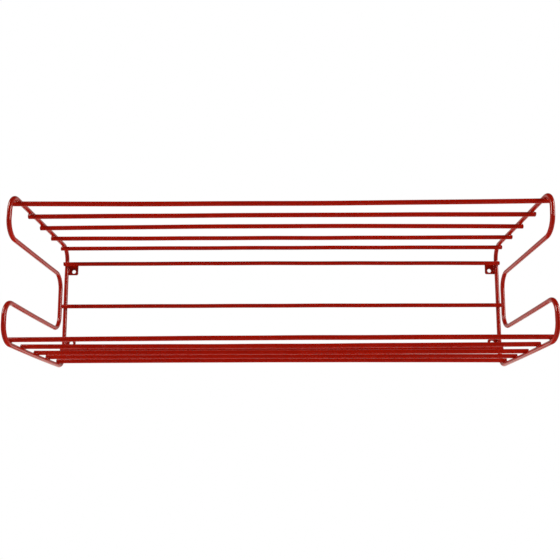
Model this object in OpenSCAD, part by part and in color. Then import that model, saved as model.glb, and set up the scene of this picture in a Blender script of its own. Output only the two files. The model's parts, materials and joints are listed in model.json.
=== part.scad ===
// Wall-mounted two-tier wire rack for tyre and wheel service supplies.
// Two closed loops of bent rod stand out from the wall. Straight wires cross from loop to
// loop to make two shelves and three back rails. Four welded tabs take the wall screws.
//
// The wall is the plane Y = 0, the front of the rack faces -Y, +Z is up and X runs along it.
// The origin is the centre of the pattern of four screw holes, on the wall.

/* [Overall] */
// Distance between the centre planes of the two side frames
frame_spacing = 620; // [400:10:900]
// Height of a side frame over its rods
rack_height = 178; // [170:1:260]
// Depth from the wall to the front of the noses
rack_depth = 220; // [216:1:320]

/* [Rod and wire] */
// Diameter of the bent rod of the side frames, with its coat
rod_d = 5.7; // [5:0.1:6]
// Diameter of the shelf wires and back rails, with their coat
wire_d = 5.7; // [4:0.1:6]
// Radius of every bend, to the middle of the rod
bend_r = 20; // [16:0.5:22]
// How far crossing wires are pressed into each other where they are welded
set_down = 0.4; // [0.1:0.05:0.5]

/* [Side frames] */
// Clear height of the throat between the upper and lower prongs
throat_height = 70.5; // [60:0.5:78]
// Distance from the back bar to the inner bar, middle to middle
inner_bar_gap = 24; // [18:1:30]

/* [Shelves] */
// Number of wires in each shelf
wires_per_shelf = 5; // [5]
// Distance from the back bar to the hindmost shelf wire, middle to middle
first_wire_gap = 19; // [17:0.5:20]
// Spacing of the shelf wires
wire_pitch = 44; // [30:1:44]
// How far a wire reaches past the middle of a side frame's rod
wire_overhang = 3; // [2.5:0.5:8]
// How far the front wires reach past it
front_wire_overhang = 5; // [2.5:0.5:8]

/* [Back rails] */
// Height of the upper rail above the middle rail, and of the middle one above the lower
rail_rise = 62; // [58:0.5:64]

/* [Mounting tabs] */
// From a side frame's centre plane in to the screw hole
hole_inset = 10; // [9:0.5:14]
// From the middle of the upper or lower rail to the screw hole
hole_below_rail = 9.5; // [8:0.5:12]
// Diameter of the screw holes
hole_d = 5.5; // [5:0.5:7]
// Thickness of the tab's sheet metal
tab_t = 2; // [1.5:0.5:2]
// Height of a tab
tab_height = 18; // [16:0.5:20]
// From the middle of the hole to the tab's inboard edge
hole_to_side = 6; // [5.5:0.5:8]
// From the middle of the hole to the tab's free end
hole_to_end = 4.9; // [4.5:0.1:6]
// Radius of the tab's corners
tab_corner_r = 2.5; // [1:0.5:3]

/* [Welds] */
// Diameter of the ring of metal squeezed out around a crossing weld, as a share of the wire's
cross_weld_share = 0.84; // [0.6:0.02:0.86]
// Diameter of the bead along a tab
bead_d = 2.8; // [2:0.1:3]
// Length of the bead along a tab
bead_length = 13; // [8:0.5:14]

/* [Hidden] */
$fn = 48;
RED = "firebrick";
cross_weld_d = cross_weld_share * wire_d;
cross_weld_h = 0.7 * wire_d;     // deep enough to end inside both wires
tab_edge_wrap = 1;               // how far the tab tucks in behind the back bar

back_y = -rod_d / 2;             // middle of the back bar: the bar touches the wall
nose_y = -rack_depth + rod_d / 2;
inner_y = back_y - inner_bar_gap;
top_z = (rack_height - rod_d) / 2;
throat_z = (throat_height + rod_d) / 2;
frame_x = frame_spacing / 2;

cross_gap = (rod_d + wire_d) / 2 - set_down;  // middle of rod to middle of wire at a weld
shelf_z = top_z - cross_gap;     // the wires lie inside the loop, against its outer bars
rail_y = back_y - cross_gap;     // the rails lie on the room side of the back bars
hole_x = frame_x - hole_inset;
hole_z = rail_rise - hole_below_rail;

// Corners of the loop in the (Y, Z) plane, going round from the top of the back bar.
// Every corner is a right angle.
loop_corners = [
    [back_y, top_z],
    [nose_y, top_z],
    [nose_y, throat_z],
    [inner_y, throat_z],
    [inner_y, -throat_z],
    [nose_y, -throat_z],
    [nose_y, -top_z],
    [back_y, -top_z]
];

// ---- helpers ----

function unit(v) = v / norm(v);
function heading(v) = atan2(v.y, v.x);
function wrap(i) = (i + len(loop_corners)) % len(loop_corners);

// Shelf wires are numbered from the front.
function wire_y(number) = back_y - first_wire_gap - (wires_per_shelf - number) * wire_pitch;
function overhang(number) = number == 1 ? front_wire_overhang : wire_overhang;

// A straight length of round stock in the loop's own plane
module straight(start, direction, length) {
    translate(start)
        rotate([0, 0, heading(direction)])
            rotate([0, 90, 0])
                cylinder(d = rod_d, h = length);
}

// A right-angle bend at a corner, whose two legs run off along leg_a and leg_b
module bend(corner, leg_a, leg_b) {
    start = cross(leg_b, leg_a) > 0 ? -leg_b : -leg_a;
    translate(corner + (leg_a + leg_b) * bend_r)
        rotate([0, 0, heading(start)])
            rotate_extrude(angle = 90)
                translate([bend_r, 0])
                    circle(d = rod_d);
}

// One rod bent round all eight corners and closed on itself, standing in the YZ plane
module rod_loop() {
    rotate([90, 0, 90])
        for (i = [0 : len(loop_corners) - 1]) {
            here = loop_corners[i];
            to_next = loop_corners[wrap(i + 1)] - here;
            leg_out = unit(to_next);
            leg_in = unit(loop_corners[wrap(i - 1)] - here);
            bend(here, leg_in, leg_out);
            straight(here + leg_out * bend_r, leg_out, norm(to_next) - 2 * bend_r);
        }
}

module side_frame(side) {
    translate([side * frame_x, 0, 0])
        rod_loop();
}

// A round wire along X, centred on X = 0
module wire_along_x(y, z, past_frames) {
    reach = frame_x + past_frames;
    translate([-reach, y, z])
        rotate([0, 90, 0])
            cylinder(d = wire_d, h = 2 * reach);
}

// A wire that beds into both side frames where it crosses them
module bedded_wire(y, z, past_frames) {
    difference() {
        wire_along_x(y, z, past_frames);
        side_frame(-1);
        side_frame(1);
    }
}

// The rings of metal squeezed out where one wire crosses the two side frames.
// turn tips the ring from lying flat to facing the way the wires are pressed together.
module crossing_welds(y, z, towards_rod, turn) {
    difference() {
        for (side = [-1, 1])
            translate([side * frame_x, y, z] + towards_rod * cross_gap / 2)
                rotate(turn)
                    cylinder(d = cross_weld_d, h = cross_weld_h, center = true);
        side_frame(-1);
        side_frame(1);
        wire_along_x(y, z, wire_overhang);
    }
}

// ---- shelves and rails ----

module upper_shelf_wire(number) {
    color(RED)
        bedded_wire(wire_y(number), shelf_z, overhang(number));
}

module lower_shelf_wire(number) {
    color(RED)
        bedded_wire(wire_y(number), -shelf_z, overhang(number));
}

module back_rail(z) {
    color(RED)
        bedded_wire(rail_y, z, wire_overhang);
}

// ---- mounting tabs ----

// Sheet outline in the (X, Z) plane for the upper tab on the +X side
module tab_outline() {
    inboard_x = hole_x - hole_to_side;
    free_z = hole_z - hole_to_end;
    bar_x = frame_x - rod_d / 2 + tab_edge_wrap;
    far_z = free_z + tab_height;
    for (z = [free_z + tab_corner_r, far_z - tab_corner_r])
        translate([inboard_x + tab_corner_r, z])
            circle(r = tab_corner_r);
    translate([inboard_x, free_z + tab_corner_r])
        square([bar_x - inboard_x, tab_height - 2 * tab_corner_r]);
    translate([inboard_x + tab_corner_r, free_z])
        square([bar_x - inboard_x - tab_corner_r, tab_height]);
}

// The sheet lies against the wall, and its outboard edge is coped to the back bar.
module tab_plate() {
    difference() {
        rotate([90, 0, 0])
            linear_extrude(height = tab_t)
                tab_outline();
        translate([hole_x, 0, hole_z])
            rotate([90, 0, 0])
                cylinder(d = hole_d, h = 4 * tab_t, center = true);
        side_frame(1);
    }
}

// The bead that joins the front face of a tab to the back bar
module tab_bead() {
    middle_z = hole_z - hole_to_end + tab_height / 2;
    bar_side_x = frame_x - rod_d / 2;
    difference() {
        translate([bar_side_x, -tab_t, middle_z])
            cylinder(d = bead_d, h = bead_length, center = true);
        translate([bar_side_x - bead_d, -tab_t, middle_z - bead_length])
            cube([2 * bead_d, bead_d, 2 * bead_length]);
        side_frame(1);
    }
}

module at_corner(side, level) {
    mirror([side < 0 ? 1 : 0, 0, 0])
        mirror([0, 0, level < 0 ? 1 : 0])
            children();
}

module mounting_tab(side, level) {
    color(RED)
        at_corner(side, level)
            tab_plate();
}

// ---- sub-parts ----

module left_side_frame() {
    color(RED)
        side_frame(-1);
}

module right_side_frame() {
    color(RED)
        side_frame(1);
}

module shelf_welds(level) {
    color(RED)
        for (number = [1 : wires_per_shelf])
            crossing_welds(wire_y(number), level * shelf_z, [0, 0, level], [0, 0, 0]);
}

module back_rail_welds() {
    color(RED)
        for (z = [-rail_rise, 0, rail_rise])
            crossing_welds(rail_y, z, [0, 1, 0], [90, 0, 0]);
}

module tab_welds() {
    color(RED)
        for (side = [-1, 1], level = [-1, 1])
            at_corner(side, level)
                tab_bead();
}

left_side_frame();
right_side_frame();
upper_shelf_wire(1);  // upper_shelf_wire_1
upper_shelf_wire(2);  // upper_shelf_wire_2
upper_shelf_wire(3);  // upper_shelf_wire_3
upper_shelf_wire(4);  // upper_shelf_wire_4
upper_shelf_wire(5);  // upper_shelf_wire_5
lower_shelf_wire(1);  // lower_shelf_wire_1
lower_shelf_wire(2);  // lower_shelf_wire_2
lower_shelf_wire(3);  // lower_shelf_wire_3
lower_shelf_wire(4);  // lower_shelf_wire_4
lower_shelf_wire(5);  // lower_shelf_wire_5
back_rail(rail_rise);  // upper_back_rail
back_rail(0);  // middle_back_rail
back_rail(-rail_rise);  // lower_back_rail
mounting_tab(-1, 1);  // upper_left_tab
mounting_tab(1, 1);  // upper_right_tab
mounting_tab(-1, -1);  // lower_left_tab
mounting_tab(1, -1);  // lower_right_tab
shelf_welds(1);  // upper_shelf_welds
shelf_welds(-1);  // lower_shelf_welds
back_rail_welds();
tab_welds();
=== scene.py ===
"""Looks of a wall-mounted, two-tier wire rack: bent-rod side frames, shelf wires, back rails,
screw tabs and weld metal, all under one gloss red powder coat.

Lengths are in metres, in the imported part's own frame: X along the rack, +Y into the wall, +Z up."""

import json
import math
import random

import bpy
from mathutils import Matrix, Vector


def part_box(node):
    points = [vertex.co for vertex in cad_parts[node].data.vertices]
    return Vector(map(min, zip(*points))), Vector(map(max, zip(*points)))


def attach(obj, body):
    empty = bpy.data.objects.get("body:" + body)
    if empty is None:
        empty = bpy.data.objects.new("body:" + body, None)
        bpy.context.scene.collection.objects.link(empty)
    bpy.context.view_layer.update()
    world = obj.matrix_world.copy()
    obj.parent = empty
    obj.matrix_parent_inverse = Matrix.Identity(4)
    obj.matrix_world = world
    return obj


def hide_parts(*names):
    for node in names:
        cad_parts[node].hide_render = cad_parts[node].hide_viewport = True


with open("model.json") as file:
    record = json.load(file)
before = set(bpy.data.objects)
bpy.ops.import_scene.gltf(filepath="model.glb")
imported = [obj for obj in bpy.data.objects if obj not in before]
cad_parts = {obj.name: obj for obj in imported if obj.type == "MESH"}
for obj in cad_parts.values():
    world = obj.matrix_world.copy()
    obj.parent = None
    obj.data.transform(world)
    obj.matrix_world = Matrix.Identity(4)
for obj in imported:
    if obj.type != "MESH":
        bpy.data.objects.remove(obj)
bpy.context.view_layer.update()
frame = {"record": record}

MM = 0.001
X, Y, Z = Vector((1, 0, 0)), Vector((0, 1, 0)), Vector((0, 0, 1))

# ---- dimensions ----

frame_low, frame_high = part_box("right_side_frame")
ROD_R = (frame_high.x - frame_low.x) / 2
FRAME_X = (frame_high.x + frame_low.x) / 2
TOP_Z = frame_high.z - ROD_R
BACK_Y = frame_high.y - ROD_R
NOSE_Y = frame_low.y + ROD_R
THROAT_Z = 35.25 * MM + ROD_R        # middle of the rods on either side of the throat
INNER_Y = BACK_Y - 24 * MM           # middle of the inner bar
BEND_R = 20 * MM

ROD_SIDES = 32                       # points round the rod, and round a wire
WIRE_SIDES = 28
STRAIGHT_STEP = 2.5 * MM
BEND_STEPS = 18
BEND_RUN_IN = 0.2                    # share of a bend over which the rod flattens
BEND_FLATTENING = 0.018              # how much thinner the rod is across a bend
BUTT_WELD_Z = -30 * MM               # where the rod's two ends meet, on the back bar
BUTT_WELD_RISE = 0.16 * MM
BUTT_WELD_WIDTH = 1.3 * MM

WIRE_STEP = 4 * MM
CUT_EDGE_R = 0.45 * MM               # the rounded rim of a sheared wire end under its coat
CUT_EDGE_STEPS = 5
CUT_FACE = 0.55                      # radius of the flat middle of a cut, as a share of the wire's
CUT_SLOPE = 0.08                     # the most that a cut slopes, up or sideways
CUT_REACH = 1.5 * MM                 # how far in from the end the slope runs out
FULL_COAT = 1.2 * MM                 # how far in from the end the coat is nearly full again and the painted shade at the end has faded
END_LENGTH = 2 * MM                  # the stretch that end_profile shapes
WAVINESS = 0.12 * MM
WAVES = (2, 3, 5)                    # half waves between the middle and a frame

# The next four tables say how the real rack lies out of true. Their amounts were read from
# measurements of the photograph against renders, then rounded.

# How each wire lies, in mm: how far it has slid along X, and how far it stands above where the bent
# side frames alone would put it, at the left frame, in the middle and at the right frame
LIE = {
    "upper_shelf_wire_1": (0.6, -0.2, -1.3, 0.25),
    "upper_shelf_wire_2": (1.4, -0.15, 0.45, 0.0),
    "upper_shelf_wire_3": (0.65, 0.1, 1.55, -0.1),
    "upper_shelf_wire_4": (0.5, 0.4, 0.2, 0.15),
    "upper_shelf_wire_5": (0.0, -0.1, 0.3, -0.05),
    "upper_back_rail": (-0.2, 0.1, 0.55, -0.3),
    "middle_back_rail": (-0.2, 0.2, 0.6, 0.5),
    "lower_back_rail": (0.0, 0.0, 0.4, 0.0),
    "lower_shelf_wire_1": (-0.7, 0.3, 1.0, 0.35),
    "lower_shelf_wire_2": (-0.5, 0.0, -0.7, 0.0),
    "lower_shelf_wire_3": (0.0, -0.6, -1.2, -1.1),
    "lower_shelf_wire_4": (0.0, 0.3, 0.15, -0.5),
    "lower_shelf_wire_5": (0.0, 0.4, 0.95, 0.15),
}

# How far each top and bottom bar of the side frames stands above true: at the wall, midway and at
# the nose
BAR_RISE = {
    ("upper", "left"): (0.0 * MM, 0.0 * MM, 0.0 * MM),
    ("upper", "right"): (0.0 * MM, 0.6 * MM, 1.15 * MM),
    ("lower", "left"): (-0.5 * MM, -1.5 * MM, -0.6 * MM),
    ("lower", "right"): (-0.4 * MM, 0.1 * MM, 1.6 * MM),
}

# How much further each rod beside a throat stands above true: at the inner bar and at the nose
THROAT_RISE = {
    ("upper", "left"): (1.3 * MM, -1.1 * MM),
    ("upper", "right"): (0.6 * MM, -0.4 * MM),
    ("lower", "left"): (0.8 * MM, 0.0 * MM),
    ("lower", "right"): (1.5 * MM, 0.4 * MM),
}

# How far each top bar leans to the right: at the wall and at the nose
TOP_LEAN = {
    "left": (0.4 * MM, 0.9 * MM),
    "right": (-0.7 * MM, 0.7 * MM),
}

WELD_FOOT = 2.95 * MM                # reach of the weld metal where it runs out on rod and wire
WELD_WAIST = 2.6 * MM                # and halfway between them
WELD_FLARE = 2.4                     # how suddenly it widens from the waist
WELD_SINK = 0.06 * MM
WELD_SIDES = 40
WELD_LEVELS = 10
WELD_LOBES = (2, 3, 5, 7)            # waves round a weld that make it uneven
LOBE_DEPTH = (0.02, 0.07)
WELD_SHIFT = 0.15 * MM               # the most that a weld's waist lies off its crossing
GRIP = 0.96                          # share of their radius that it may reach round rod and wire

TAB_T = 2 * MM
TAB_EDGE_R = 0.4 * MM
TAB_EDGE_STEPS = 5
TAB_BACK_R = 0.15 * MM
TAB_CORNER_R = 2.5 * MM
TAB_CORNER_STEPS = 10
TAB_SIDE_STEPS = 14
TAB_COVER = 0.6                      # the sheet ends this share of the rod's radius short of its middle
SCREW_HOLES = frame["record"]["mounts"][0]["dims"]
HOLE_R = SCREW_HOLES["hole_r_mm"] * MM
HOLE_X = SCREW_HOLES["spacing_x_mm"] / 2 * MM
HOLE_Z = SCREW_HOLES["spacing_y_mm"] / 2 * MM

BEAD_R = 1.4 * MM
BEAD_LENGTH = 13 * MM
BEAD_SIDES = 24
BEAD_STEPS = 90
BEAD_SQUASH = 0.85                   # height of the bead as a share of its width
BEAD_TIP = 0.9                       # length of its rounded end, in bead radii
RIPPLE_PITCH = 1.15 * MM
RIPPLE_DEPTH = 0.07


# ---- mesh helpers ----

def smoothstep(t):
    t = min(max(t, 0), 1)
    return t * t * (3 - 2 * t)


def ring(centre, side, rise, side_r, rise_r, count):
    """Points round an ellipse whose half axes lie along side and rise."""
    turn = 2 * math.pi / count
    return [centre + side * (side_r * math.cos(turn * i)) + rise * (rise_r * math.sin(turn * i))
            for i in range(count)]


def skin(rings, closed):
    """Vertices and faces of a tube through the rings. An open tube gets a fan at each end."""
    count = len(rings[0])
    points = [p for one in rings for p in one]
    faces = []
    spans = len(rings) if closed else len(rings) - 1
    for j in range(spans):
        here, there = j * count, (j + 1) % len(rings) * count
        for i in range(count):
            k = (i + 1) % count
            faces.append((here + i, here + k, there + k, there + i))
    if not closed:
        for start, end in ((0, True), ((len(rings) - 1) * count, False)):
            hub = len(points)
            points.append(sum(points[start:start + count], Vector()) / count)
            for i in range(count):
                k = (i + 1) % count
                faces.append((hub, start + k, start + i) if end else (hub, start + i, start + k))
    return points, faces


def joined(parts):
    """Several (points, faces) lists as one."""
    points, faces = [], []
    for part_points, part_faces in parts:
        base = len(points)
        points += part_points
        faces += [tuple(base + i for i in face) for face in part_faces]
    return points, faces


def bar_rise(bar, depth):
    """Rise of a top or bottom bar, at a depth from 0, the wall, to 1, the nose."""
    wall, midway, nose = BAR_RISE[bar]
    rise = wall * (1 - depth) * (1 - 2 * depth)
    rise += midway * 4 * depth * (1 - depth)
    rise += nose * depth * (2 * depth - 1)
    return rise


def throat_rise(rod, along):
    """Rise of one rod beside a throat, from 0, the inner bar, to 1, the nose."""
    back, nose = THROAT_RISE[rod]
    return back + (nose - back) * along


def between_rods(rise_at, along, across, height):
    """A rise mixed from those of the four rods: across is 0 at the left, and height is 0 at the lower."""
    left, right = (
        rise_at(("lower", side), along) * (1 - height) + rise_at(("upper", side), along) * height
        for side in ("left", "right"))
    return left * (1 - across) + right * across


def leaning(points):
    """Points of the true side frames and their welds, moved along X as the top bars lean."""
    moved = []
    for point in points:
        wall, nose = TOP_LEAN["left" if point.x < 0 else "right"]
        share = smoothstep((point.z - THROAT_Z) / (TOP_Z - THROAT_Z))
        moved.append(point + X * share * (wall + (nose - wall) * point.y / NOSE_Y))
    return moved


def out_of_true(points):
    """Points of the true design moved to where they lie on the rack, whose frames are slightly bent."""
    moved = []
    for point in points:
        across = (point.x / FRAME_X + 1) / 2
        height = smoothstep((point.z / TOP_Z + 1) / 2)
        rise = between_rods(bar_rise, point.y / NOSE_Y, across, height)
        if point.y < (BACK_Y + INNER_Y) / 2:
            along = (INNER_Y - point.y) / (INNER_Y - NOSE_Y)
            height = min(max((point.z / THROAT_Z + 1) / 2, 0), 1)
            share = smoothstep((TOP_Z - abs(point.z)) / (TOP_Z - THROAT_Z))
            rise += share * between_rods(throat_rise, along, across, height)
        moved.append(point + Z * rise)
    return moved


def add_piece(name, points, faces, coat, material):
    """A smooth mesh piece on the one body. coat tells each point's coat: 0 is thin, 1 is full. A thin
    coat is painted darker, which also serves as painted shade.
    """
    mesh = bpy.data.meshes.new(name)
    mesh.from_pydata([tuple(p) for p in points], [], faces)
    mesh.validate()
    mesh.polygons.foreach_set("use_smooth", [True] * len(mesh.polygons))
    film_and_shade = mesh.attributes.new("coat", "FLOAT", "POINT")
    film_and_shade.data.foreach_set("value", coat)
    mesh.materials.append(material)
    piece = bpy.data.objects.new(name, mesh)
    bpy.context.scene.collection.objects.link(piece)
    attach(piece, "root")
    return piece


# ---- materials ----

class Nodes:
    """Short calls that add nodes to a tree. A value is a number, a colour or another node's output."""

    def __init__(self, tree):
        self.nodes = tree.nodes
        self.links = tree.links

    def join(self, value, socket):
        if isinstance(value, bpy.types.NodeSocket):
            self.links.new(value, socket)
        elif isinstance(value, tuple):
            socket.default_value = (*value, 1)
        else:
            socket.default_value = value

    def place(self, kind):
        return self.nodes.new("ShaderNodeTexCoord").outputs[kind]

    def spread(self, value, start, end, low, high, curve="LINEAR"):
        """Carries value from the range start..end to low..high, and no further."""
        node = self.nodes.new("ShaderNodeMapRange")
        node.interpolation_type = curve
        for name, number in zip(("From Min", "From Max", "To Min", "To Max"), (start, end, low, high)):
            node.inputs[name].default_value = number
        self.join(value, node.inputs["Value"])
        return node.outputs["Result"]

    def compute(self, operation, first, second=0):
        node = self.nodes.new("ShaderNodeMath")
        node.operation = operation
        self.join(first, node.inputs[0])
        self.join(second, node.inputs[1])
        return node.outputs["Value"]

    def mix(self, share, first, second):
        """Mixes two colours."""
        node = self.nodes.new("ShaderNodeMix")
        node.data_type = "RGBA"
        self.join(share, node.inputs["Factor"])
        self.join(first, node.inputs[6])
        self.join(second, node.inputs[7])
        return node.outputs[2]

    def mix_numbers(self, share, first, second):
        node = self.nodes.new("ShaderNodeMix")
        self.join(share, node.inputs["Factor"])
        self.join(first, node.inputs[2])
        self.join(second, node.inputs[3])
        return node.outputs[0]


class Shader(Nodes):
    """A material with a Principled shader."""

    def __init__(self, name):
        self.material = bpy.data.materials.new(name)
        self.material.use_nodes = True
        super().__init__(self.material.node_tree)
        self.principled = self.nodes["Principled BSDF"]
        self.where = self.place("Object")

    def set(self, **values):
        for name, value in values.items():
            self.principled.inputs[name.replace("_", " ")].default_value = value

    def feed(self, name, output):
        self.links.new(output, self.principled.inputs[name])

    def noise(self, scale, detail=2.0, roughness=0.5):
        node = self.nodes.new("ShaderNodeTexNoise")
        node.inputs["Scale"].default_value = scale
        node.inputs["Detail"].default_value = detail
        node.inputs["Roughness"].default_value = roughness
        self.links.new(self.where, node.inputs["Vector"])
        return node.outputs["Fac"]

    def grains(self, scale):
        node = self.nodes.new("ShaderNodeTexVoronoi")
        node.inputs["Scale"].default_value = scale
        self.links.new(self.where, node.inputs["Vector"])
        return node.outputs["Distance"]

    def attribute(self, name):
        node = self.nodes.new("ShaderNodeAttribute")
        node.attribute_name = name
        return node.outputs["Fac"]

    def bump(self, height, distance, strength, under=None):
        node = self.nodes.new("ShaderNodeBump")
        node.inputs["Distance"].default_value = distance
        node.inputs["Strength"].default_value = strength
        self.links.new(height, node.inputs["Height"])
        if under:
            self.links.new(under, node.inputs["Normal"])
        return node.outputs["Normal"]


RED = (0.385, 0.0075, 0.0009)
DEEP_RED = (0.35, 0.006, 0.0006)
# darker red of a thin coat on edges, also used as painted shade at the wire ends and welds
THIN_COAT_AND_SHADE_RED = (0.10, 0.004, 0.003)
CLOUD_SCALE = 28                     # these four count features per metre
SHEEN_SCALE = 90
PEEL_SCALE = 520
NIB_SCALE = 110
SMOOTHEST = 0.12
ROUGHEST = 0.19
PEEL_STRENGTH = 0.08
NIB_SIZE = 0.09                      # radius of a dust nib, as a share of their spacing
NIB_RISE = 0.04 * MM
NIB_STRENGTH = 0.06


def powder_coat(name, peel_depth):
    """Gloss red powder coat: soft clouds of deeper red, orange peel, dust nibs, and a darker thin film on
    edges, which is also painted shade at the wire ends and welds.
    """
    shader = Shader(name)
    clouds = shader.spread(shader.noise(CLOUD_SCALE, 3), 0.35, 0.65, 0, 1)
    colour = shader.mix(clouds, DEEP_RED, RED)
    # painted darkness where the coat value is low: a thin coat on edges, and painted shade at the wire
    # ends and weld crossings
    film_and_shade = shader.spread(shader.attribute("coat"), 0, 1, 1, 0)
    shader.feed("Base Color", shader.mix(film_and_shade, colour, THIN_COAT_AND_SHADE_RED))
    shader.feed("Roughness", shader.spread(shader.noise(SHEEN_SCALE, 3), 0.3, 0.7, SMOOTHEST, ROUGHEST))
    peel = shader.bump(shader.noise(PEEL_SCALE), peel_depth, PEEL_STRENGTH)
    nibs = shader.spread(shader.grains(NIB_SCALE), 0.0, NIB_SIZE, 1, 0)
    shader.feed("Normal", shader.bump(nibs, NIB_RISE, NIB_STRENGTH, peel))
    shader.set(IOR=1.5, Coat_Weight=0.15, Coat_Roughness=0.06, Coat_IOR=1.5)
    return shader.material


FRAME_PAINT = powder_coat("frame_powder_coat", 0.030 * MM)
WIRE_PAINT = powder_coat("wire_powder_coat", 0.025 * MM)
TAB_PAINT = powder_coat("tab_powder_coat", 0.035 * MM)
WELD_PAINT = powder_coat("weld_powder_coat", 0.050 * MM)


# ---- side frames ----

def loop_corners():
    """(Y, Z) corners of a side frame, round from the top of the back bar. All are right angles."""
    return [
        (BACK_Y, TOP_Z), (NOSE_Y, TOP_Z), (NOSE_Y, THROAT_Z), (INNER_Y, THROAT_Z),
        (INNER_Y, -THROAT_Z), (NOSE_Y, -THROAT_Z), (NOSE_Y, -TOP_Z), (BACK_Y, -TOP_Z),
    ]


def loop_stations(x):
    """(point, heading, share of bend) all round one side frame's rod."""
    corners = [Vector((x, y, z)) for y, z in loop_corners()]
    stations = []
    for i, corner in enumerate(corners):
        ahead = corners[(i + 1) % len(corners)] - corner
        leg_out = ahead.normalized()
        leg_in = (corners[i - 1] - corner).normalized()
        centre = corner + (leg_in + leg_out) * BEND_R
        for step in range(BEND_STEPS + 1):
            share = step / BEND_STEPS
            turn = share * math.pi / 2
            out = -leg_out * math.cos(turn) - leg_in * math.sin(turn)
            heading = leg_out * math.sin(turn) - leg_in * math.cos(turn)
            bend = smoothstep(min(share, 1 - share) / BEND_RUN_IN)
            stations.append((centre + out * BEND_R, heading, bend))
        length = ahead.length - 2 * BEND_R
        steps = round(length / STRAIGHT_STEP)
        for step in range(1, steps):
            point = corner + leg_out * (BEND_R + length * step / steps)
            stations.append((point, leg_out, 0))
    return stations


def butt_weld_rise(point):
    """The ground-down ridge where the rod's two ends are welded together."""
    if abs(point.y - BACK_Y) > ROD_R:
        return 0
    away = (point.z - BUTT_WELD_Z) / BUTT_WELD_WIDTH
    return BUTT_WELD_RISE * math.exp(-away * away)


def make_side_frame(name, x):
    rings = []
    for point, heading, bend in loop_stations(x):
        across = heading.cross(X)
        rise = butt_weld_rise(point)
        side_r = ROD_R * (1 + 0.5 * BEND_FLATTENING * bend) + rise
        across_r = ROD_R * (1 - BEND_FLATTENING * bend) + rise
        rings.append(ring(point, X, across, side_r, across_r, ROD_SIDES))
    points, faces = skin(rings, True)
    points = out_of_true(leaning(points))
    piece = add_piece(name, points, faces, [1.0] * len(points), FRAME_PAINT)
    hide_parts(name.removesuffix("_rod"))


# ---- shelf wires and back rails ----

def end_profile(radius):
    """(distance in from the cut, radius, coat) down the rim of a sheared end. Low coat values paint the
    end darker, partly for a thin coat and partly as painted shade.
    """
    profile = [(0.0, CUT_FACE * radius, 0.35)]
    for i in range(CUT_EDGE_STEPS + 1):
        share = i / CUT_EDGE_STEPS
        turn = share * math.pi / 2
        rim = CUT_EDGE_R * (1 - math.cos(turn))
        profile.append((rim, radius - CUT_EDGE_R * (1 - math.sin(turn)), 0.1 + 0.5 * share))
    profile.append((FULL_COAT, radius, 0.9))
    return profile


def lie(node, x):
    """How far a wire stands above its true line at x: a smooth curve through its three heights."""
    _, left, middle, right = LIE[node]
    share = x / FRAME_X
    rise = middle * (1 - share * share)
    rise += left * share * (share - 1) / 2
    rise += right * share * (share + 1) / 2
    return rise * MM


def slight_waves(rng):
    """The small waves in a straightened wire, which its welds hold still at the frames."""
    waves = [(rng.uniform(-1, 1) * WAVINESS, rng.uniform(0, 2 * math.pi), n) for n in WAVES]

    def offset(x):
        share = min(abs(x) / FRAME_X, 1)
        wave = sum(a * math.sin(n * math.pi * x / FRAME_X + phase) for a, phase, n in waves)
        return (1 - share * share) * wave

    return offset


def wire_stations(reach, radius):
    """(x, radius, coat) from one end of a wire to the other."""
    profile = end_profile(radius)
    inner = reach - END_LENGTH
    steps = round(2 * inner / WIRE_STEP)
    stations = [(-reach + d, r, coat) for d, r, coat in profile]
    stations += [(-inner + 2 * inner * i / steps, radius, 1.0) for i in range(steps + 1)]
    stations += [(reach - d, r, coat) for d, r, coat in reversed(profile)]
    return stations


def make_wire(node):
    rng = random.Random(node)
    low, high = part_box(node)
    middle = (low + high) / 2
    reach = high.x
    slip = LIE[node][0] * MM
    waves = slight_waves(rng)
    slopes = {side: (rng.uniform(-CUT_SLOPE, CUT_SLOPE), rng.uniform(-CUT_SLOPE, CUT_SLOPE))
              for side in (-1, 1)}
    rings, coat = [], []
    for x, r, film_and_shade in wire_stations(reach, (high.z - low.z) / 2):
        centre = Vector((x + slip, middle.y, middle.z + lie(node, x) + waves(x)))
        points = ring(centre, Y, Z, r, r, WIRE_SIDES)
        near_end = smoothstep((abs(x) - reach + CUT_REACH) / CUT_REACH)
        slope_y, slope_z = slopes[-1 if x < 0 else 1]
        for p in points:
            p.x += near_end * (slope_y * (p.y - centre.y) + slope_z * (p.z - centre.z))
        rings.append(points)
        coat += [film_and_shade] * WIRE_SIDES
    points, faces = skin(rings, False)
    coat += [0.4, 0.4]               # the middles of the two cut faces, painted darker: thin coat and painted shade
    piece = add_piece(node + "_bar", out_of_true(points), faces, coat, WIRE_PAINT)
    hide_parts(node)


# ---- weld metal where wires cross the side frames ----

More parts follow.
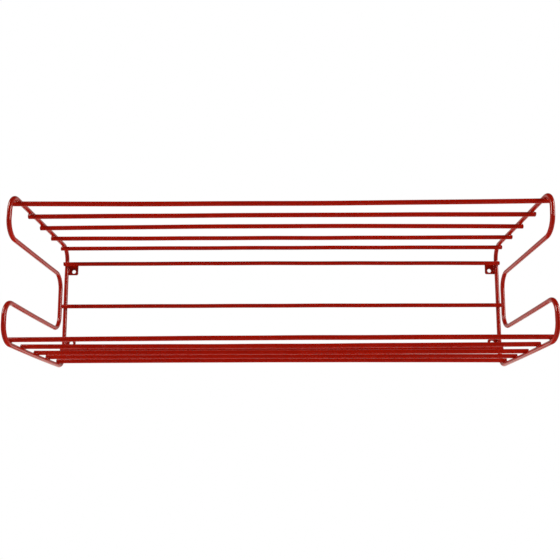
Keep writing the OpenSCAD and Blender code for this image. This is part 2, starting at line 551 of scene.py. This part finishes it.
def crossing_weld(wire_centre, wire_r, towards_rod, gap, rng):
    """Squeezed-out metal round one crossing: a waisted ring that runs out on the rod and the wire.
    gap is the distance between the middles of the two."""
    along_rod = towards_rod.cross(X)
    lobes = [(rng.uniform(*LOBE_DEPTH), rng.uniform(0, 2 * math.pi), n) for n in WELD_LOBES]
    shift = [rng.uniform(-1, 1) * WELD_SHIFT for _ in range(2)]
    rings = []
    for level in range(WELD_LEVELS + 1):
        height = 2 * level / WELD_LEVELS - 1
        points = []
        for i in range(WELD_SIDES):
            turn = 2 * math.pi * i / WELD_SIDES
            lobe = 1 + sum(a * math.sin(n * turn + phase) for a, phase, n in lobes)
            foot, waist = WELD_FOOT * lobe, WELD_WAIST * lobe
            reach = waist + (foot - waist) * abs(height) ** WELD_FLARE
            at_x = reach * math.cos(turn) + shift[0] * (1 - height * height)
            at_rod = reach * math.sin(turn) + shift[1] * (1 - height * height)
            foot_x = min(abs(foot * math.cos(turn)), GRIP * ROD_R)
            foot_rod = min(abs(foot * math.sin(turn)), GRIP * wire_r)
            on_wire = math.sqrt(wire_r ** 2 - foot_rod ** 2) - WELD_SINK
            on_rod = gap - math.sqrt(ROD_R ** 2 - foot_x ** 2) + WELD_SINK
            up = (on_wire + on_rod) / 2 + (on_rod - on_wire) / 2 * height
            points.append(wire_centre + X * at_x + along_rod * at_rod + towards_rod * up)
        rings.append(points)
    points, faces = skin(rings, False)
    points[-2] = wire_centre + towards_rod * (0.5 * wire_r)         # the ends meet inside the wire
    points[-1] = wire_centre + towards_rod * (gap - 0.5 * ROD_R)    # and inside the rod
    return points, faces


def make_crossing_welds(node, wire_nodes):
    rng = random.Random(node)
    parts = []
    for wire in wire_nodes:
        low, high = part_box(wire)
        middle = (low + high) / 2
        radius = (high.z - low.z) / 2
        for x in (-FRAME_X, FRAME_X):
            centre = Vector((x, middle.y, middle.z + lie(wire, x)))
            if "rail" in wire:
                towards_rod, gap = Y, BACK_Y - centre.y
            else:
                towards_rod, gap = Z * math.copysign(1, centre.z), TOP_Z - abs(centre.z)
            parts.append(crossing_weld(centre, radius, towards_rod, gap, rng))
    points, faces = joined(parts)
    points = out_of_true(leaning(points))
    # 0.85 paints the weld metal a little darker, as painted shade in the crossings
    piece = add_piece(node + "_metal", points, faces, [0.85] * len(points), WELD_PAINT)
    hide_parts(node)


# ---- mounting tabs ----

def tab_place(node):
    """Which side and level a tab is on, and the X and Z reach of its sheet on the +X, +Z side."""
    low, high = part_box(node)
    side = math.copysign(1, low.x)
    level = math.copysign(1, low.z)
    inboard = min(abs(low.x), abs(high.x))
    near, far = sorted((abs(low.z), abs(high.z)))
    return side, level, inboard, near, far


def tab_outline(inboard, outboard, near, far, inset):
    """Outline points of the upper right tab, drawn in by inset. Only the inboard corners are round."""
    radius = TAB_CORNER_R - inset
    x0, x1, z0, z1 = inboard + inset, outboard, near + inset, far - inset
    along = [i / TAB_SIDE_STEPS for i in range(TAB_SIDE_STEPS)]
    turns = [i / TAB_CORNER_STEPS * math.pi / 2 for i in range(TAB_CORNER_STEPS)]
    points = [(x1 + (x0 + radius - x1) * share, z1) for share in along]
    points += [(x0 + radius - radius * math.sin(t), z1 - radius + radius * math.cos(t)) for t in turns]
    points += [(x0, z1 - radius + (z0 - z1 + 2 * radius) * share) for share in along]
    points += [(x0 + radius - radius * math.cos(t), z0 + radius - radius * math.sin(t)) for t in turns]
    points += [(x0 + radius + (x1 - x0 - radius) * share, z0) for share in along]
    points += [(x1, z0 + (z1 - z0) * share) for share in along]
    return points


def make_tab(node):
    """A punched sheet tab: rounded edges, a rounded rim to the hole, and a flat back."""
    side, level, inboard, near, far = tab_place(node)
    outboard = FRAME_X - TAB_COVER * ROD_R
    base = tab_outline(inboard, outboard, near, far, 0)
    turns = [math.atan2(z - HOLE_Z, x - HOLE_X) for x, z in base]

    def outline_ring(inset, y):
        shape = tab_outline(inboard, outboard, near, far, inset)
        return [Vector((side * x, y, level * z)) for x, z in shape]

    def hole_ring(inset, y, share=0.0):
        """A ring round the hole, or that share of the way out to the outline."""
        points = []
        for turn, (x, z) in zip(turns, base):
            at_x = HOLE_X + (HOLE_R + inset) * math.cos(turn)
            at_z = HOLE_Z + (HOLE_R + inset) * math.sin(turn)
            points.append(Vector((side * (at_x + (x - at_x) * share), y,
                                  level * (at_z + (z - at_z) * share))))
        return points

    rounding = []
    for i in range(TAB_EDGE_STEPS + 1):
        turn = i / TAB_EDGE_STEPS * math.pi / 2
        rounding.append((TAB_EDGE_R * (1 - math.cos(turn)), -TAB_T + TAB_EDGE_R * (1 - math.sin(turn))))
    layers = [(outline_ring(TAB_BACK_R, 0), 0.9), (outline_ring(0, -TAB_BACK_R), 0.6)]
    layers += [(outline_ring(inset, y), 0.45) for inset, y in rounding]
    layers += [(hole_ring(TAB_EDGE_R, -TAB_T, share), 1.0) for share in (0.6, 0.25)]
    layers += [(hole_ring(inset, y), 0.5) for inset, y in reversed(rounding)]
    layers += [(hole_ring(0, -TAB_BACK_R), 0.5), (hole_ring(TAB_BACK_R, 0), 0.7)]
    layers += [(hole_ring(TAB_BACK_R, 0, 0.5), 0.9)]
    points, faces = skin([points for points, _ in layers], True)
    if side * level < 0:             # this tab is a mirror image, so its faces are turned over
        faces = [face[::-1] for face in faces]
    coat = [film_and_shade for layer, film_and_shade in layers for _ in layer]
    piece = add_piece(node + "_sheet", points, faces, coat, TAB_PAINT)
    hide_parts(node)


def tab_bead(node, rng):
    """The rippled bead that joins a tab's front face to the back bar."""
    side, level, _, near, far = tab_place(node)
    centre = Vector((side * (FRAME_X - ROD_R), -TAB_T, level * (near + far) / 2))
    phase = rng.uniform(0, 2 * math.pi)
    rings = []
    for j in range(BEAD_STEPS + 1):
        along = (j / BEAD_STEPS - 0.5) * BEAD_LENGTH
        end = smoothstep((BEAD_LENGTH / 2 - abs(along)) / (BEAD_TIP * BEAD_R))
        taper = math.sqrt(max(1 - (1 - end) ** 2, 0.01))
        points = []
        for i in range(BEAD_SIDES):
            turn = 2 * math.pi * i / BEAD_SIDES
            lag = 0.5 * RIPPLE_PITCH * math.cos(turn * 2)
            ripple = math.cos(2 * math.pi * (along + lag) / RIPPLE_PITCH + phase)
            reach = BEAD_R * taper * (1 + RIPPLE_DEPTH * ripple)
            outward = X * math.cos(turn) + Y * (BEAD_SQUASH * math.sin(turn))
            points.append(centre + outward * reach + Z * along)
        rings.append(points)
    return skin(rings, False)


def make_tab_beads(tab_nodes):
    rng = random.Random("tab_welds")
    points, faces = joined([tab_bead(node, rng) for node in tab_nodes])
    piece = add_piece("tab_weld_beads", points, faces, [0.9] * len(points), WELD_PAINT)
    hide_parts("tab_welds")


# ---- the rack ----

UPPER_WIRES = [f"upper_shelf_wire_{n}" for n in range(1, 6)]
LOWER_WIRES = [f"lower_shelf_wire_{n}" for n in range(1, 6)]
RAILS = ["upper_back_rail", "middle_back_rail", "lower_back_rail"]
TABS = [f"{level}_{side}_tab" for level in ("upper", "lower") for side in ("left", "right")]

make_side_frame("left_side_frame_rod", -FRAME_X)
make_side_frame("right_side_frame_rod", FRAME_X)
for wire_node in UPPER_WIRES + LOWER_WIRES + RAILS:
    make_wire(wire_node)
make_crossing_welds("upper_shelf_welds", UPPER_WIRES)
make_crossing_welds("lower_shelf_welds", LOWER_WIRES)
make_crossing_welds("back_rail_welds", RAILS)
for tab_node in TABS:
    make_tab(tab_node)
make_tab_beads(TABS)


# ---- studio ----

FLOOR_Z = -1.25
FLOOR_SIZE = 3.4
FLOOR_GLOW = 1.0
PALE = (0.86, 0.86, 0.86)
PALER = (0.9, 0.9, 0.9)
WHITE = (1.0, 1.0, 1.0)
WARM_LIGHT = (1.0, 0.95, 0.87)
ROOM_LIGHT = 0.02
WALL_LIGHT = 1.35
SIDE_LIGHT = 0.3
# A wall's light starts where a direction's share towards it is the first of these, and is full at
# the second
BACK_WALL = (0.6, 0.85)
SIDE_WALLS = (0.4, 0.85)
# (sine of the height above the horizon, share of the back wall's light there)
WALL_SHADE = [(-0.42, 0.0), (-0.27, 1.0), (-0.18, 0.8), (-0.08, 0.4), (0.5, 0.35)]
SOFTBOX_WIDTH = 1.0
SOFTBOX_HEIGHT = 1.2
SOFTBOXES = [("left_softbox", (-1.6, -1.0, 1.3), 30), ("right_softbox", (1.7, -1.0, 0.9), 28)]
RACK_MIDDLE = Vector((0, -0.1, 0))
# The camera, from a fit to the photograph, whose upward tilt and roll were then corrected a little
SENSOR_WIDTH = 36
LENS = 45
FRAME_SHIFT = 0.1615
CAMERA_PLACE = Vector((6.45, -986.3, -219.3)) * MM
CAMERA_TURN = (7.369, -0.47, -0.027)     # degrees: upwards, to the right, and over
FAR_CLIP = 100


def make_floor():
    """A plain pale floor, well below the rack."""
    half = FLOOR_SIZE / 2
    mesh = bpy.data.meshes.new("floor")
    corners = [(x * half, y * half, FLOOR_Z) for x, y in ((-1, -1), (1, -1), (1, 1), (-1, 1))]
    mesh.from_pydata(corners, [], [(0, 1, 2, 3)])
    shader = Shader("floor_paint")
    tone = shader.spread(shader.noise(0.8), 0.3, 0.7, 0, 1)
    shader.feed("Base Color", shader.mix(tone, PALE, PALER))
    shader.set(Roughness=0.9, Emission_Color=(*WHITE, 1), Emission_Strength=FLOOR_GLOW)
    mesh.materials.append(shader.material)
    floor = bpy.data.objects.new("floor", mesh)
    bpy.context.scene.collection.objects.link(floor)
    floor.visible_glossy = False     # the gloss shows the dim room in the floor's place


def wall_shade(studio, height):
    """The back wall's share of its light at a height, the sine above the horizon."""
    node = studio.nodes.new("ShaderNodeValToRGB")
    ramp = node.color_ramp
    ramp.interpolation = "EASE"
    for stop_height, share in WALL_SHADE:
        stop = ramp.elements.new((stop_height + 1) / 2)
        stop.color = (share, share, share, 1)
    ramp.elements.remove(ramp.elements[-1])
    ramp.elements.remove(ramp.elements[0])
    half_height = studio.compute("MULTIPLY", height, 0.5)
    studio.join(studio.compute("ADD", half_height, 0.5), node.inputs["Fac"])
    return node.outputs["Color"]


def make_world():
    """White to the camera. As light it is a dim room with a white wall behind, brightest low down,
    and lit walls at both sides."""
    world = bpy.data.worlds.new("studio")
    world.use_nodes = True
    bpy.context.scene.world = world
    studio = Nodes(world.node_tree)
    split = studio.nodes.new("ShaderNodeSeparateXYZ")
    studio.join(studio.place("Generated"), split.inputs["Vector"])
    behind = studio.spread(split.outputs["Y"], *BACK_WALL, 0, WALL_LIGHT, "SMOOTHSTEP")
    behind = studio.compute("MULTIPLY", behind, wall_shade(studio, split.outputs["Z"]))
    sideways = studio.compute("ABSOLUTE", split.outputs["X"])
    beside = studio.spread(sideways, *SIDE_WALLS, 0, SIDE_LIGHT, "SMOOTHSTEP")
    glow = studio.compute("ADD", studio.compute("ADD", behind, beside), ROOM_LIGHT)
    seen = studio.nodes.new("ShaderNodeLightPath").outputs["Is Camera Ray"]
    background = studio.nodes["Background"]
    studio.join(studio.mix(seen, WARM_LIGHT, WHITE), background.inputs["Color"])
    studio.join(studio.mix_numbers(seen, glow, 1), background.inputs["Strength"])


def add_softbox(name, place, power):
    """A soft lamp that faces the rack."""
    lamp = bpy.data.lights.new(name, "AREA")
    lamp.shape = "RECTANGLE"
    lamp.size = SOFTBOX_WIDTH
    lamp.size_y = SOFTBOX_HEIGHT
    lamp.energy = power
    lamp.color = WARM_LIGHT
    box = bpy.data.objects.new(name, lamp)
    box.location = place
    box.rotation_euler = (RACK_MIDDLE - Vector(place)).to_track_quat("-Z", "Y").to_euler()
    bpy.context.scene.collection.objects.link(box)


def make_camera():
    """Low in front of the rack, looking a little upwards, with the frame shifted up."""
    data = bpy.data.cameras.new("camera")
    data.lens = LENS
    data.sensor_width = SENSOR_WIDTH
    data.shift_y = FRAME_SHIFT
    data.clip_end = FAR_CLIP
    pitch, yaw, roll = (math.radians(angle) for angle in CAMERA_TURN)
    camera = bpy.data.objects.new("camera", data)
    camera.matrix_world = (
        Matrix.Translation(CAMERA_PLACE)
        @ Matrix.Rotation(-yaw, 4, "Z")
        @ Matrix.Rotation(math.pi / 2 + pitch, 4, "X")
        @ Matrix.Rotation(roll, 4, "Z"))
    bpy.context.scene.collection.objects.link(camera)
    bpy.context.scene.camera = camera


make_floor()
make_world()
for softbox in SOFTBOXES:
    add_softbox(*softbox)
make_camera()
bpy.context.scene.view_settings.view_transform = "Standard"
